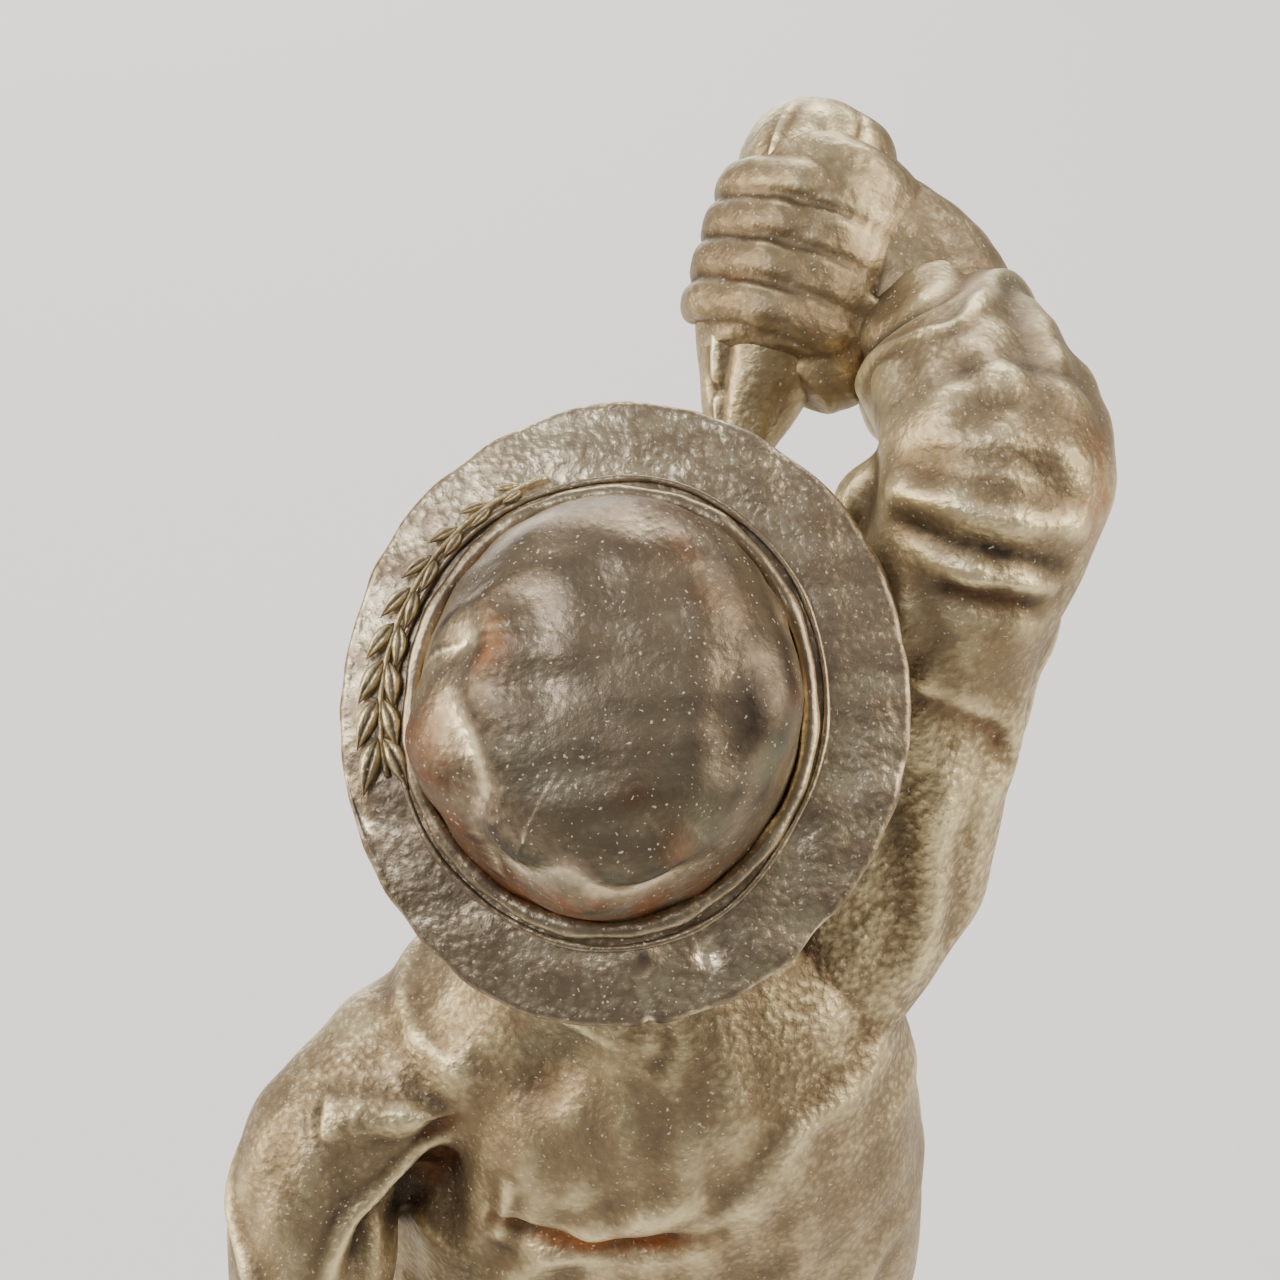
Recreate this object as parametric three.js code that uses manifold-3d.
// Figure trophy: a cast white-metal drinker in a brimmed hat, on a moulded wooden plinth.
// The figure is drawn at life size and scaled down once, so that its landmarks can be read
// as body measurements. The plinth, its fixings and the nameplate are drawn at their own size.
// Millimetres, +Z up, the figure faces -Y, origin at the middle of the underside.

import * as THREE from 'three';
import { mergeVertices } from 'three/addons/utils/BufferGeometryUtils.js';
import Module from 'manifold-3d';

const wasm = await Module();
wasm.setup();

// ---------------------------------------------------------------- driving dimensions

const SCALE = 0.13;          // trophy millimetres for one life-size millimetre
const GAP = 0.3;             // clearance between two castings that are fitted and soldered

const FOOT_SIDE = 104;       // plinth foot, square
const FOOT_HEIGHT = 9;
const BODY_SIDE = 86;        // plinth block
const BODY_HEIGHT = 24;
const CAP_SIDE = 98;
const CAP_HEIGHT = 7;
const FELT_THICKNESS = 1.2;
const FELT_MARGIN = 3;       // felt stops this far inside the foot
const CHAMFER = 2.5;

const GROUND_RADIUS = 40;    // round ground that the boots stand on
const GROUND_HEIGHT = 5;

const STUD_RADIUS = 3;       // M6 rod screwed into the ground plate
const WASHER_RADIUS = 9;
const WASHER_HEIGHT = 1.6;
const NUT_ACROSS_CORNERS = 11.5;
const NUT_HEIGHT = 5;
const NUT_RECESS_RADIUS = 11;
const NUT_RECESS_DEPTH = 8.5;
const PIN_RADIUS = 1.5;      // locating pin between plinth cap and ground plate
const PIN_LENGTH = 8;
const PIN_X = 24;
const DOWEL_RADIUS = 1.6;

const PLATE_WIDTH = 52;      // blank nameplate
const PLATE_HEIGHT = 15;
const PLATE_THICKNESS = 1;
const PLATE_PIN_INSET = 3;
const PLATE_PIN_RADIUS = 0.6;
const PLATE_PIN_HEAD = 1.1;

const FOOT_Z = FELT_THICKNESS;
const BODY_Z = FOOT_Z + FOOT_HEIGHT;
const CAP_Z = BODY_Z + BODY_HEIGHT;
const GROUND_Z = CAP_Z + CAP_HEIGHT;
const SOLE_Z = GROUND_Z + GROUND_HEIGHT;

// Body landmarks, life-size millimetres above and around the point between the soles.
const BRIM_CENTRE = [0, 60, 1674];
const HAT_TILT = 44;         // degrees that the crown's axis stands above level, leaning back
const HAT_YAW = 9;           // degrees that the hat's front is turned to the figure's right
const HEAD_YAW = 14;         // degrees that the face is turned to the figure's right
const MOUTH = [-42, -96, 1653];
const FLASK_END = [-120, -296, 1820];
const FIST_ALONG = 180;      // distance from the mouth to the middle of the fist
const FLASK_RADIUS = 45;
const GRIP_RADIUS = 37;      // the gourd narrows where the fist holds it

// ---------------------------------------------------------------- materials

function finish(name, color, roughness, metalness) {
  return new THREE.MeshStandardMaterial({ name, color, roughness, metalness });
}

const castMetal = finish('cast_metal', 0x8f8168, 0.45, 0.9);
const polishedMetal = finish('polished_metal', 0x6f6253, 0.3, 0.9);
const ebonisedWood = finish('ebonised_wood', 0x2b1c14, 0.35, 0);
const steel = finish('steel', 0x9a9a98, 0.35, 1);
const brass = finish('brass', 0xb08d4a, 0.35, 1);
const felt = finish('felt', 0x1f3a2b, 0.95, 0);

// ---------------------------------------------------------------- solids

/** A closed geometry as a manifold solid, its shared vertices merged and its faces turned outwards. */
function solid(geometry) {
  const bare = geometry.clone();
  bare.deleteAttribute('normal');
  bare.deleteAttribute('uv');
  const merged = mergeVertices(bare, 1e-5);
  const vertProperties = new Float32Array(merged.attributes.position.array);
  const triVerts = new Uint32Array(merged.index.array);
  return new wasm.Manifold(new wasm.Mesh({ numProp: 3, vertProperties, triVerts }));
}

/** The outer surface of a manifold solid as a three.js geometry. */
function surface(body) {
  const { vertProperties, triVerts } = body.getMesh();
  const geometry = new THREE.BufferGeometry();
  geometry.setAttribute('position', new THREE.BufferAttribute(vertProperties, 3));
  geometry.setIndex(new THREE.BufferAttribute(triVerts, 1));
  geometry.computeVertexNormals();
  return geometry;
}

function union(bodies) {
  return bodies.reduce((sum, body) => sum.add(body));
}

/** A life-size point as a trophy point. */
function life([x, y, z]) {
  return new THREE.Vector3(x * SCALE, y * SCALE, z * SCALE + SOLE_Z);
}

/** Rings of points joined into a tube, with a fan over each end. */
function skin(rings) {
  const sides = rings[0].length;
  const points = rings.flat();
  const faces = [];
  for (let ring = 0; ring + 1 < rings.length; ring += 1) {
    for (let side = 0; side < sides; side += 1) {
      const a = ring * sides + side;
      const b = ring * sides + ((side + 1) % sides);
      faces.push(a, b, b + sides, a, b + sides, a + sides);
    }
  }
  [0, rings.length - 1].forEach((ring) => {
    const middle = points.length;
    const centre = new THREE.Vector3();
    rings[ring].forEach((point) => centre.addScaledVector(point, 1 / sides));
    points.push(centre);
    for (let side = 0; side < sides; side += 1) {
      const a = ring * sides + side;
      const b = ring * sides + ((side + 1) % sides);
      faces.push(...(ring === 0 ? [middle, b, a] : [middle, a, b]));
    }
  });
  const geometry = new THREE.BufferGeometry().setFromPoints(points);
  geometry.setIndex(faces);
  return geometry;
}

/**
 * A limb: elliptical sections carried along a smooth line through its stations.
 * A station is [x, y, z, half width, half depth] at life size. The half width lies along
 * the across direction. grow thickens the limb all round, in trophy millimetres.
 */
function limb(stations, across, { sides = 14, steps = 2, grow = 0 } = {}) {
  const line = new THREE.CatmullRomCurve3(stations.map(life), false, 'catmullrom', 0.5);
  const girth = new THREE.CatmullRomCurve3(
    stations.map((station) => new THREE.Vector3(station[3], station[4], 0).multiplyScalar(SCALE)),
    false, 'catmullrom', 0.5);
  const count = (stations.length - 1) * steps;
  const rings = [];
  for (let index = 0; index <= count; index += 1) {
    const t = index / count;
    const along = tangent(line, t);
    const centre = line.getPoint(t);
    if (index === 0) centre.addScaledVector(along, -grow);
    if (index === count) centre.addScaledVector(along, grow);
    const size = girth.getPoint(t);
    const wide = new THREE.Vector3(...across);
    wide.addScaledVector(along, -wide.dot(along)).normalize();
    const deep = new THREE.Vector3().crossVectors(along, wide);
    rings.push(ellipse(centre, wide, deep, size.x + grow, size.y + grow, sides));
  }
  return solid(skin(rings));
}

/** The direction of a line at t, from two points close to it on either side. */
function tangent(line, t) {
  const step = 0.01;
  const before = line.getPoint(Math.max(t - step, 0));
  const after = line.getPoint(Math.min(t + step, 1));
  return after.sub(before).normalize();
}

function ellipse(centre, wide, deep, halfWidth, halfDepth, sides) {
  return Array.from({ length: sides }, (unused, side) => {
    const angle = (side / sides) * 2 * Math.PI;
    return centre.clone()
      .addScaledVector(wide, Math.cos(angle) * halfWidth)
      .addScaledVector(deep, Math.sin(angle) * halfDepth);
  });
}

/** An egg: a sphere stretched to three half sizes, in trophy millimetres, set in a frame. */
function egg(radii, frame, across = 16, up = 10) {
  const geometry = new THREE.SphereGeometry(1, across, up);
  geometry.scale(...radii);
  return solid(geometry.applyMatrix4(frame));
}

/** A lathed solid about +Z, from points [radius, height], set in a frame. */
function lathe(profile, frame, segments = 40) {
  const geometry = new THREE.LatheGeometry(profile.map(([r, z]) => new THREE.Vector2(r, z)), segments);
  geometry.rotateX(Math.PI / 2);
  return solid(geometry.applyMatrix4(frame));
}

function rod(radius, from, to, segments = 24) {
  const length = from.distanceTo(to);
  const along = to.clone().sub(from).normalize();
  const turn = new THREE.Quaternion().setFromUnitVectors(new THREE.Vector3(0, 1, 0), along);
  const middle = from.clone().lerp(to, 0.5);
  const frame = new THREE.Matrix4().compose(middle, turn, new THREE.Vector3(1, 1, 1));
  return solid(new THREE.CylinderGeometry(radius, radius, length, segments).applyMatrix4(frame));
}

function uprightRod(radius, x, y, z, height, segments = 24) {
  return rod(radius, new THREE.Vector3(x, y, z), new THREE.Vector3(x, y, z + height), segments);
}

// ---------------------------------------------------------------- frames of the head and hat

/** Right, front and up of something that leans back by 90 - tilt degrees and turns by yaw. */
function leaningFrame(origin, tilt, yaw) {
  const lean = THREE.MathUtils.degToRad(tilt);
  const turn = THREE.MathUtils.degToRad(yaw);
  const up = new THREE.Vector3(0, Math.cos(lean), Math.sin(lean));
  const level = new THREE.Vector3(-1, 0, 0);
  const ahead = new THREE.Vector3().crossVectors(up, level);
  const front = ahead.clone().multiplyScalar(Math.cos(turn)).addScaledVector(level, Math.sin(turn));
  const right = new THREE.Vector3().crossVectors(front, up);
  const frame = new THREE.Matrix4().makeBasis(right, front, up);
  return frame.setPosition(life(origin));
}

const hatFrame = leaningFrame(BRIM_CENTRE, HAT_TILT, HAT_YAW);
const headFrame = leaningFrame(BRIM_CENTRE, HAT_TILT, HEAD_YAW);

/** A place in the head's own frame, life-size [right, front, up] from the middle of the brim. */
function onHead([right, front, up]) {
  return new THREE.Vector3(right, front, up).multiplyScalar(SCALE).applyMatrix4(headFrame);
}

function headEgg(at, radii, grow = 0, across = 16, up = 10) {
  const frame = headFrame.clone().setPosition(onHead(at));
  return egg(radii.map((radius) => radius * SCALE + grow), frame, across, up);
}

// ---------------------------------------------------------------- head, hat and flask

const NECK = [
  [0, 26, 1440, 54, 56],
  [0, 22, 1500, 55, 58],
  [-2, 12, 1560, 56, 60],
  [-4, 10, 1610, 58, 62],
];

function neck(grow = 0) {
  return limb(NECK, [1, 0, 0], { grow });
}

function skull(grow = 0) {
  const cranium = headEgg([0, -6, -46], [74, 94, 98], grow);
  const face = headEgg([0, 26, -96], [58, 66, 76], grow, 14, 9);
  return cranium.add(face);
}

function head() {
  const nose = headEgg([0, 92, -88], [12, 18, 24], 0, 8, 6);
  const ears = [-1, 1].map((side) => headEgg([side * 72, -4, -84], [10, 17, 30], 0, 8, 6));
  return union([skull(), nose, ...ears, neck()]).subtract(flask(GAP));
}

const CROWN_HEIGHT = 100;
const CROWN_HALF_LENGTH = 107;
const CROWN_HALF_WIDTH = 97;
const BRIM_THICKNESS = 8;
const BRIM_HALF_LENGTH = 163;
const BRIM_HALF_WIDTH = 147;
const CROWN_OFFSET = -7;     // the crown sits nearer the figure's left side of the brim

/** A lathed ring or dome about the hat's axis, drawn for its front half length and made oval. */
function hatLathe(profile, halfLength, halfWidth, offset, segments = 32) {
  const scaled = profile.map(([r, z]) => [r * SCALE, z * SCALE]);
  const stretch = new THREE.Matrix4().makeScale(halfWidth / halfLength, 1, 1);
  const shift = new THREE.Matrix4().makeTranslation(offset * SCALE, 0, 0);
  const frame = hatFrame.clone().multiply(shift).multiply(stretch);
  return lathe(scaled, frame, segments);
}

function hatCrown() {
  const foot = CROWN_HALF_LENGTH;
  const side = [[0, -2], [foot, -2], [foot - 1, 26], [101, 56]];
  const profile = [...side, [88, 78], [66, 92], [36, 99], [0, CROWN_HEIGHT]];
  return hatLathe(profile, CROWN_HALF_LENGTH, CROWN_HALF_WIDTH, CROWN_OFFSET);
}

function hatBrim() {
  const edge = BRIM_HALF_LENGTH;
  const under = [[0, -4], [90, -4], [edge - 8, -6], [edge, -3]];
  const profile = [...under, [edge - 1, 2], [120, BRIM_THICKNESS - 4], [0, 4]];
  return hatLathe(profile, BRIM_HALF_LENGTH, BRIM_HALF_WIDTH, 0, 40);
}

function hat() {
  return hatBrim().add(hatCrown()).subtract(skull(GAP)).subtract(neck(GAP));
}

/** The cord that goes twice round the foot of the crown. */
function hatCord() {
  const clear = GAP / SCALE;
  const inner = CROWN_HALF_LENGTH + clear;
  const low = 5 + clear;
  const profile = [
    [inner, low], [inner + 9, low], [inner + 9, low + 6],
    [inner + 5, low + 13], [inner, low + 13], [inner, low],
  ];
  return hatLathe(profile, CROWN_HALF_LENGTH, CROWN_HALF_WIDTH, CROWN_OFFSET, 36);
}

const SPRIG_START = 122;     // degrees round the crown, from the figure's right through the front
const SPRIG_STEP = 15;
const SPRIG_PAIRS = 5;
const SPRIG_RADIUS = 129;
const SPRIG_LIFT = 9;
const SPRIG_THICKNESS = 8;

/** A place on the brim at a bearing round the crown, in the hat's own frame. */
function onBrim(bearing, radius) {
  const angle = THREE.MathUtils.degToRad(bearing);
  return new THREE.Vector2(Math.cos(angle) * radius * 0.93 + CROWN_OFFSET, Math.sin(angle) * radius);
}

/** One side of the sprig: each leaf leaves the stem and comes to a point further round. */
function leafEdge(stem, tip) {
  const points = [];
  for (let leaf = 0; leaf < SPRIG_PAIRS; leaf += 1) {
    const bearing = SPRIG_START + leaf * SPRIG_STEP;
    const spread = (tip - stem) * (0.6 + 0.1 * leaf);
    points.push(onBrim(bearing + 2, stem));
    points.push(onBrim(bearing + 7, stem + spread * 0.7));
    points.push(onBrim(bearing + 14, stem + spread));
  }
  return points;
}

/** A sprig of leaves in low relief along the left side of the cord, clear of cord and brim. */
function hatSprig() {
  const outer = leafEdge(SPRIG_RADIUS + 1.5, SPRIG_RADIUS + 14);
  const inner = leafEdge(SPRIG_RADIUS - 1.5, SPRIG_RADIUS - 7).reverse();
  const start = onBrim(SPRIG_START, SPRIG_RADIUS);
  const end = onBrim(SPRIG_START + SPRIG_PAIRS * SPRIG_STEP + 6, SPRIG_RADIUS);
  const outline = new THREE.Shape([start, ...outer, end, ...inner]);
  const relief = new THREE.ExtrudeGeometry(outline, { depth: SPRIG_THICKNESS, bevelEnabled: false });
  relief.translate(0, 0, SPRIG_LIFT).scale(SCALE, SCALE, SCALE);
  return solid(relief.applyMatrix4(hatFrame));
}

/** The line of the flask, from the lips to its round end. */
function flaskFrame() {
  const from = life(MOUTH);
  const along = life(FLASK_END).sub(from).normalize();
  const turn = new THREE.Quaternion().setFromUnitVectors(new THREE.Vector3(0, 0, 1), along);
  return new THREE.Matrix4().compose(from, turn, new THREE.Vector3(1, 1, 1));
}

const FLASK_PROFILE = [
  [0, 4], [15, 4], [17, 9], [14, 14], [14, 40], [18, 66], [27, 92], [38, 118], [FLASK_RADIUS - 1, 138],
  [42, 156], [GRIP_RADIUS, 180], [41, 206], [FLASK_RADIUS, 232], [40, 256], [24, 270], [0, 274],
];

function flask(grow = 0) {
  const profile = FLASK_PROFILE.map(([r, z], index) => {
    const last = FLASK_PROFILE.length - 1;
    const end = index === 0 ? -grow : (index === last ? grow : 0);
    return [r === 0 ? 0 : r * SCALE + grow, z * SCALE + end];
  });
  return lathe(profile, flaskFrame(), 24);
}

// ---------------------------------------------------------------- arms and hands

const TORSO = [
  [0, -24, 1048, 128, 96],
  [-8, -22, 1110, 152, 104],
  [-14, -12, 1200, 168, 112],
  [-12, 2, 1300, 164, 114],
  [-10, 12, 1380, 156, 108],
  [-14, 18, 1440, 138, 92],
  [-8, 24, 1490, 92, 76],
  [-2, 26, 1520, 66, 64],
];

const SHIRT_CORE = [
  [0, -24, 1010, 86, 58],
  [0, -20, 1110, 88, 60],
  [-2, -8, 1220, 96, 62],
  [-4, 4, 1320, 84, 54],
  [-6, 10, 1370, 40, 30],
];

function torso(grow = 0) {
  return limb(TORSO, [1, 0, 0], { sides: 20, grow });
}

const RIGHT_SLEEVE = [
  [-78, 8, 1400, 62, 60],
  [-108, 0, 1446, 64, 64],
  [-136, -14, 1505, 68, 66],
  [-154, -20, 1580, 64, 58],
  [-168, -26, 1645, 57, 53],
  [-182, -32, 1701, 59, 55],
  [-194, -42, 1749, 62, 54],
  [-193, -92, 1757, 61, 52],
  [-186, -145, 1740, 58, 54],
  [-178, -198, 1729, 54, 52],
  [-175, -230, 1724, 48, 48],
];

const LEFT_SLEEVE = [
  [78, 14, 1368, 56, 56],
  [108, 18, 1378, 57, 56],
  [144, 38, 1357, 53, 52],
  [176, 58, 1324, 51, 50],
  [184, 84, 1274, 48, 48],
  [192, 108, 1222, 47, 48],
  [204, 126, 1176, 50, 50],
  [212, 116, 1124, 48, 46],
  [208, 84, 1072, 42, 42],
  [202, 54, 1040, 38, 38],
];

function rightSleeve(grow = 0) {
  return limb(RIGHT_SLEEVE, [1, 0, 0], { grow });
}

function leftSleeve(grow = 0) {
  return limb(LEFT_SLEEVE, [1, 0, 0], { grow });
}

function lerp(a, b, t) {
  return a.map((value, index) => value + (b[index] - value) * t);
}

const FLASK_LINE = FLASK_END.map((value, index) => value - MOUTH[index]);
const FLASK_LENGTH = Math.hypot(...FLASK_LINE);

/** A point at a distance along the flask and an angle round it; 0 faces up and back, 90 the left. */
function roundFlask(along, degrees, radius) {
  const axis = new THREE.Vector3(...FLASK_LINE).normalize();
  const back = new THREE.Vector3(0, 1, 1).normalize();
  back.addScaledVector(axis, -back.dot(axis)).normalize();
  const left = new THREE.Vector3().crossVectors(back, axis);
  const angle = THREE.MathUtils.degToRad(degrees);
  const centre = new THREE.Vector3(...lerp(MOUTH, FLASK_END, along / FLASK_LENGTH));
  centre.addScaledVector(back, Math.cos(angle) * radius).addScaledVector(left, Math.sin(angle) * radius);
  return centre.toArray();
}

/** A finger bent round the flask, from its knuckle to its tip. */
function grippingFinger(along, fromAngle, toAngle, thickness) {
  const stations = [];
  const joints = 5;
  for (let joint = 0; joint <= joints; joint += 1) {
    const share = joint / joints;
    const angle = fromAngle + (toAngle - fromAngle) * share;
    const thin = thickness * (1 - 0.22 * share);
    stations.push([...roundFlask(along, angle, GRIP_RADIUS + thickness + 3), thin, thin]);
  }
  return limb(stations, FLASK_LINE, { sides: 7, steps: 1 });
}

const FINGER_PITCH = 19;     // distance between the middles of two fingers

function rightHand() {
  const fingers = [-1.5, -0.5, 0.5, 1.5].map((place) =>
    grippingFinger(FIST_ALONG + place * FINGER_PITCH, -62, 118 - Math.abs(place) * 10, 10));
  const thumb = grippingFinger(FIST_ALONG + 8, -70, -190, 12);
  return union([rightPalm(), ...fingers, thumb]).subtract(flask(GAP));
}

/** The back of the right hand, from the knuckles to the wrist inside the cuff. */
function rightPalm(grow = 0) {
  return limb([
    [...roundFlask(FIST_ALONG, -48, GRIP_RADIUS + 13), 40, 13],
    [...roundFlask(FIST_ALONG, -76, GRIP_RADIUS + 28), 40, 19],
    [-160, -238, 1746, 36, 24],
    [-170, -226, 1732, 29, 24],
    [-174, -202, 1728, 26, 24],
  ], FLASK_LINE, { sides: 12, grow });
}

function leftPalm(grow = 0) {
  return limb([
    [204, 62, 1050, 26, 22],
    [194, 34, 1020, 27, 22],
    [180, 4, 1004, 36, 17],
    [172, -26, 990, 42, 14],
  ], [0, 0, 1], { sides: 12, grow });
}

function leftHand() {
  const fingers = [0, 1, 2, 3].map((place) => limb([
    [172, -20, 1018 - place * 19, 10, 9],
    [168, -54, 1012 - place * 20, 10, 9],
    [152, -86, 1002 - place * 20, 10, 9],
    [126, -108, 994 - place * 19, 9, 9],
  ], [0, 0, 1], { sides: 8, steps: 1 }));
  const thumb = limb([
    [184, 12, 1006, 12, 12],
    [168, 38, 982, 11, 10],
    [146, 52, 962, 10, 9],
  ], [0, 0, 1], { sides: 8, steps: 1 });
  return union([leftPalm(), ...fingers, thumb]).subtract(hips(GAP)).subtract(sashOuter(GAP));
}

/** A steel dowel through a shoulder joint. */
function shoulderDowel(from, to, grow = 0) {
  return rod(DOWEL_RADIUS + grow, life(from), life(to), 16);
}

const RIGHT_DOWEL = [[-96, 8, 1440], [-146, -6, 1560]];
const LEFT_DOWEL = [[92, 18, 1374], [168, 50, 1334]];

// ---------------------------------------------------------------- body and legs

const HIPS = [
  [0, -22, 880, 120, 96],
  [0, -20, 940, 146, 108],
  [0, -22, 1000, 138, 100],
  [0, -24, 1044, 126, 94],
];

const HIP_SPIGOT = [[0, -24, 1030, 78, 50], [0, -22, 1090, 78, 50]];

const RIGHT_LEG = [
  [-80, -20, 920, 74, 88],
  [-86, -22, 830, 80, 90],
  [-88, -26, 700, 74, 82],
  [-88, -32, 560, 64, 70],
  [-92, -26, 470, 60, 66],
  [-96, -14, 380, 62, 70],
  [-98, -6, 300, 58, 64],
];

const LEFT_LEG = [
  [80, -20, 920, 74, 88],
  [88, -34, 830, 80, 90],
  [96, -58, 700, 74, 82],
  [106, -84, 560, 64, 70],
  [112, -84, 470, 60, 66],
  [116, -74, 380, 62, 70],
  [120, -66, 300, 58, 64],
];

const RIGHT_BOOT = { ankle: [-102, 8], toeOut: -18, top: [-98, -6] };
const LEFT_BOOT = { ankle: [124, -52], toeOut: 24, top: [120, -66] };

function hips(grow = 0) {
  return limb(HIPS, [1, 0, 0], { sides: 20, grow });
}

function hipSpigot(grow = 0) {
  return limb(HIP_SPIGOT, [1, 0, 0], { sides: 20, grow });
}

/** A boot: its leg from the calf down to the heel, and its foot along the ground. */
function boot({ ankle, toeOut, top }, grow = 0) {
  const turn = THREE.MathUtils.degToRad(toeOut);
  const ahead = (distance) => [ankle[0] + Math.sin(turn) * distance, ankle[1] - Math.cos(turn) * distance];
  const leg = limb([
    [...top, 326, 66, 72], [...top, 300, 68, 74],
    [...ahead(-2), 200, 52, 56], [...ahead(0), 110, 44, 52], [...ahead(0), 40, 44, 54],
  ], [1, 0, 0], { sides: 12, grow });
  const across = [Math.cos(turn), Math.sin(turn), 0];
  const foot = limb([
    [...ahead(-58), 40, 26, 34], [...ahead(-40), 46, 38, 46], [...ahead(10), 52, 42, 52],
    [...ahead(70), 42, 46, 42], [...ahead(130), 32, 48, 32],
    [...ahead(172), 26, 36, 26], [...ahead(194), 22, 16, 18],
  ], across, { sides: 10, steps: 1, grow });
  return leg.add(foot);
}

/** Everything below the soles is trimmed away, so that the boots stand flat. */
function standing(body) {
  const slab = new THREE.BoxGeometry(200, 200, 40).translate(0, 0, SOLE_Z - 20);
  return body.subtract(solid(slab));
}

function sashOuter(grow = 0) {
  return limb([
    [0, -24, 1016, 140, 106], [0, -24, 1046, 148, 113], [0, -24, 1078, 142, 108],
  ], [1, 0, 0], { sides: 24, grow });
}

/** The sash hides the joint between shirt and seat, so both pass through it. */
function sash() {
  const middle = limb([[0, -24, 1000, 118, 86], [0, -24, 1092, 118, 86]], [1, 0, 0], { sides: 24 });
  return [torso(GAP), hips(GAP), middle].reduce((rest, cutter) => rest.subtract(cutter), sashOuter());
}

/** The shirt with its standing collar, before it is cored. */
function shirtOuter(grow = 0) {
  const collar = limb([
    [0, 26, 1486, 78, 76], [-2, 20, 1512, 76, 74], [-2, 14, 1534, 74, 74],
  ], [1, 0, 0], { sides: 20, grow });
  return torso(grow).add(collar);
}

function shirtBody() {
  return shirtOuter()
    .subtract(neck(GAP))
    .subtract(limb(SHIRT_CORE, [1, 0, 0], { sides: 16 }))
    .subtract(shoulderDowel(...RIGHT_DOWEL, GAP))
    .subtract(shoulderDowel(...LEFT_DOWEL, GAP));
}

// ---------------------------------------------------------------- ground and plinth

const BLIND_DEPTH = 4.5;     // of the holes in the ground plate, drawn from 1 mm below it

function groundPlate() {
  const r = GROUND_RADIUS;
  const h = GROUND_HEIGHT;
  const profile = [[0, 0], [r, 0], [r + 1, h * 0.35], [r - 0.5, h * 0.75], [r - 4, h], [0, h]];
  const place = new THREE.Matrix4().makeTranslation(0, 0, GROUND_Z);
  const threads = uprightRod(STUD_RADIUS + GAP, 0, 0, GROUND_Z - 1, BLIND_DEPTH);
  const pinHole = uprightRod(PIN_RADIUS + GAP, PIN_X, 0, GROUND_Z - 1, BLIND_DEPTH);
  return lathe(profile, place, 48).subtract(threads).subtract(pinHole);
}

/** A square block from z, with its upper edges chamfered or its lower ones. */
function squareBlock(side, z, height, chamfer, upper) {
  const half = side / 2;
  const small = half - chamfer;
  const profile = upper
    ? [[0, 0], [half, 0], [half, height - chamfer], [small, height], [0, height]]
    : [[0, 0], [small, 0], [half, chamfer], [half, height], [0, height]];
  const diagonal = Math.SQRT2;
  const turned = new THREE.Matrix4().makeTranslation(0, 0, z)
    .multiply(new THREE.Matrix4().makeRotationZ(Math.PI / 4));
  return lathe(profile.map(([r, h]) => [r * diagonal, h]), turned, 4);
}

/** A block drilled right through for the stud. */
function bored(block, z, height) {
  return block.subtract(uprightRod(STUD_RADIUS + GAP, 0, 0, z - 1, height + 2));
}

function plinthFoot() {
  const block = bored(squareBlock(FOOT_SIDE, FOOT_Z, FOOT_HEIGHT, CHAMFER, true), FOOT_Z, FOOT_HEIGHT);
  return block.subtract(uprightRod(NUT_RECESS_RADIUS, 0, 0, FOOT_Z - 1, NUT_RECESS_DEPTH + 1, 32));
}

function plinthBody() {
  return bored(squareBlock(BODY_SIDE, BODY_Z, BODY_HEIGHT, 0.6, true), BODY_Z, BODY_HEIGHT);
}

function plinthCap() {
  const block = bored(squareBlock(CAP_SIDE, CAP_Z, CAP_HEIGHT, CHAMFER, false), CAP_Z, CAP_HEIGHT);
  return block.subtract(uprightRod(PIN_RADIUS + GAP, PIN_X, 0, CAP_Z + 1.5, CAP_HEIGHT));
}

function baseFelt() {
  const side = FOOT_SIDE - 2 * FELT_MARGIN;
  return solid(new THREE.BoxGeometry(side, side, FELT_THICKNESS).translate(0, 0, FELT_THICKNESS / 2));
}

function stud() {
  return uprightRod(STUD_RADIUS, 0, 0, FOOT_Z + 1, GROUND_Z + 3 - FOOT_Z - 1);
}

const WASHER_Z = FOOT_Z + NUT_RECESS_DEPTH - WASHER_HEIGHT;
const NUT_Z = WASHER_Z - NUT_HEIGHT;

function ringAround(radius, z, height, segments) {
  const outer = uprightRod(radius, 0, 0, z, height, segments);
  return outer.subtract(uprightRod(STUD_RADIUS + GAP, 0, 0, z - 1, height + 2));
}

function locatingPin() {
  return uprightRod(PIN_RADIUS, PIN_X, 0, CAP_Z + 2, PIN_LENGTH);
}

// ---------------------------------------------------------------- nameplate

const PLATE_Z = BODY_Z + BODY_HEIGHT / 2;
const PLATE_Y = -BODY_SIDE / 2;

function platePinPlaces() {
  const x = PLATE_WIDTH / 2 - PLATE_PIN_INSET;
  const z = PLATE_HEIGHT / 2 - PLATE_PIN_INSET;
  return [[-x, z], [x, z], [-x, -z], [x, -z]];
}

/** The shank of a nameplate pin, driven into the plinth; grown, it is the hole that the pin goes in. */
function platePinShank([x, z], grow = 0) {
  const inner = new THREE.Vector3(x, PLATE_Y + 4, PLATE_Z + z);
  const outer = new THREE.Vector3(x, PLATE_Y - 1.4, PLATE_Z + z);
  return rod(PLATE_PIN_RADIUS + grow, inner, outer, 12);
}

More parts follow.
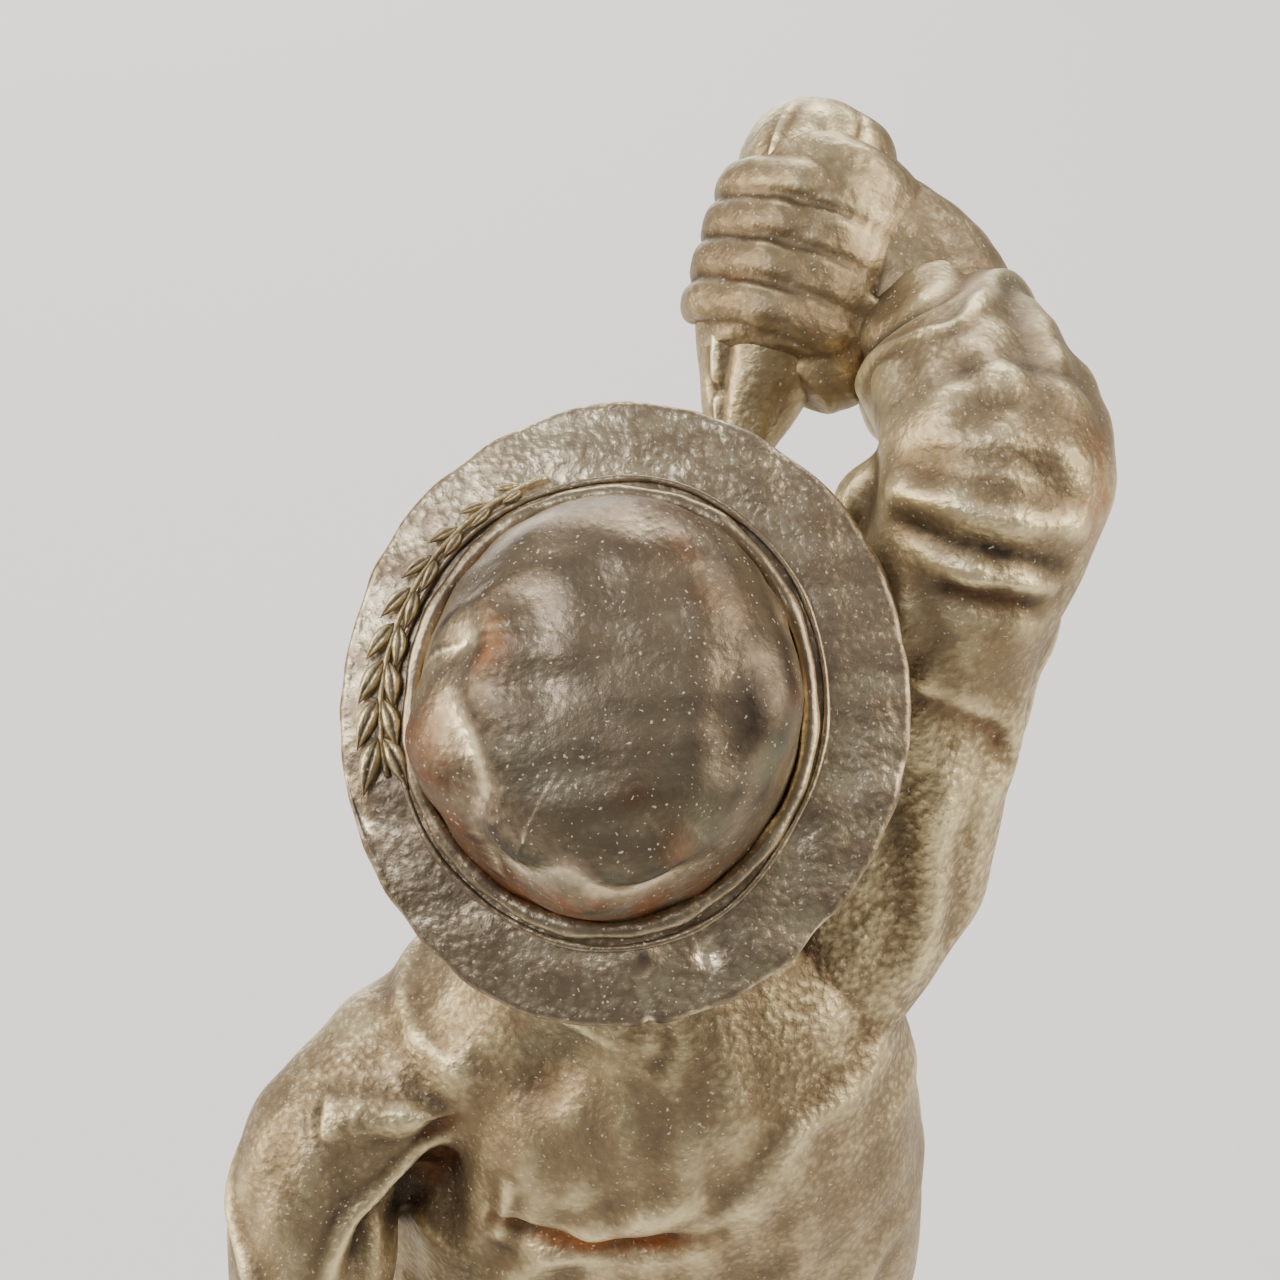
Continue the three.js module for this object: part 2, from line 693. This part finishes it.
/** A nameplate pin: its shank and a half-round head just clear of the plate. */
function platePin([x, z]) {
  const seatY = PLATE_Y - PLATE_THICKNESS - GAP;
  const headFrame = new THREE.Matrix4().makeTranslation(x, seatY, PLATE_Z + z);
  const ball = egg([PLATE_PIN_HEAD, 0.9, PLATE_PIN_HEAD], headFrame, 12, 8);
  const behind = new THREE.BoxGeometry(6, 8, 6).translate(x, seatY + 4, PLATE_Z + z);
  return platePinShank([x, z]).add(ball.subtract(solid(behind)));
}

/** A body drilled for the four nameplate pins. */
function pinned(body) {
  return platePinPlaces().reduce((rest, place) => rest.subtract(platePinShank(place, 0.2)), body);
}

function nameplate() {
  const plate = new THREE.BoxGeometry(PLATE_WIDTH, PLATE_THICKNESS, PLATE_HEIGHT);
  plate.translate(0, PLATE_Y - PLATE_THICKNESS / 2, PLATE_Z);
  return pinned(solid(plate));
}

// ---------------------------------------------------------------- assembly

const trophy = new THREE.Group();
trophy.name = 'figure_trophy';

function add(name, body, material) {
  const mesh = new THREE.Mesh(surface(body), material);
  mesh.name = name;
  trophy.add(mesh);
}

/** A sleeve let in against the shirt, drilled for its dowel and opened for its wrist. */
function fitSleeve(sleeve, dowel, palm) {
  const cutters = [shirtOuter(GAP), shoulderDowel(...dowel, GAP), palm, flask(GAP)];
  return cutters.reduce((rest, cutter) => rest.subtract(cutter), sleeve);
}

/** A trouser leg cut back from the seat. */
function fitLeg(stations) {
  return limb(stations, [1, 0, 0]).subtract(hips(GAP));
}

/** A boot that stands flat and is opened for its trouser leg. */
function fitBoot(shape, legStations) {
  return standing(boot(shape)).subtract(limb(legStations, [1, 0, 0], { grow: GAP }));
}

function addFigure() {
  add('shirt_body', shirtBody(), castMetal);
  add('right_sleeve', fitSleeve(rightSleeve(), RIGHT_DOWEL, rightPalm(GAP)), castMetal);
  add('left_sleeve', fitSleeve(leftSleeve(), LEFT_DOWEL, leftPalm(GAP)), castMetal);
  add('shoulder_dowel_right', shoulderDowel(...RIGHT_DOWEL), steel);
  add('shoulder_dowel_left', shoulderDowel(...LEFT_DOWEL), steel);
  add('right_hand', rightHand(), castMetal);
  add('left_hand', leftHand(), castMetal);
  add('head', head(), castMetal);
  add('hat', hat(), polishedMetal);
  add('hat_cord', hatCord(), castMetal);
  add('hat_sprig', hatSprig(), castMetal);
  add('flask', flask(), castMetal);
  add('waist_sash', sash(), castMetal);
  add('trouser_seat', hips().subtract(torso(GAP)).add(hipSpigot()), castMetal);
  add('right_trouser_leg', fitLeg(RIGHT_LEG), castMetal);
  add('left_trouser_leg', fitLeg(LEFT_LEG), castMetal);
  add('right_boot', fitBoot(RIGHT_BOOT, RIGHT_LEG), castMetal);
  add('left_boot', fitBoot(LEFT_BOOT, LEFT_LEG), castMetal);
}

function addBase() {
  add('ground_plate', groundPlate(), castMetal);
  add('locating_pin', locatingPin(), steel);
  add('mounting_stud', stud(), steel);
  add('stud_washer', ringAround(WASHER_RADIUS, WASHER_Z, WASHER_HEIGHT, 32), steel);
  add('stud_nut', ringAround(NUT_ACROSS_CORNERS / 2, NUT_Z, NUT_HEIGHT, 6), steel);
  add('plinth_cap', plinthCap(), ebonisedWood);
  add('plinth_body', pinned(plinthBody()), ebonisedWood);
  add('plinth_foot', plinthFoot(), ebonisedWood);
  add('base_felt', baseFelt(), felt);
  add('nameplate', nameplate(), brass);
  platePinPlaces().forEach((place, index) => add(`nameplate_pin_${index + 1}`, platePin(place), brass));
}

addFigure();
addBase();

export default trophy;
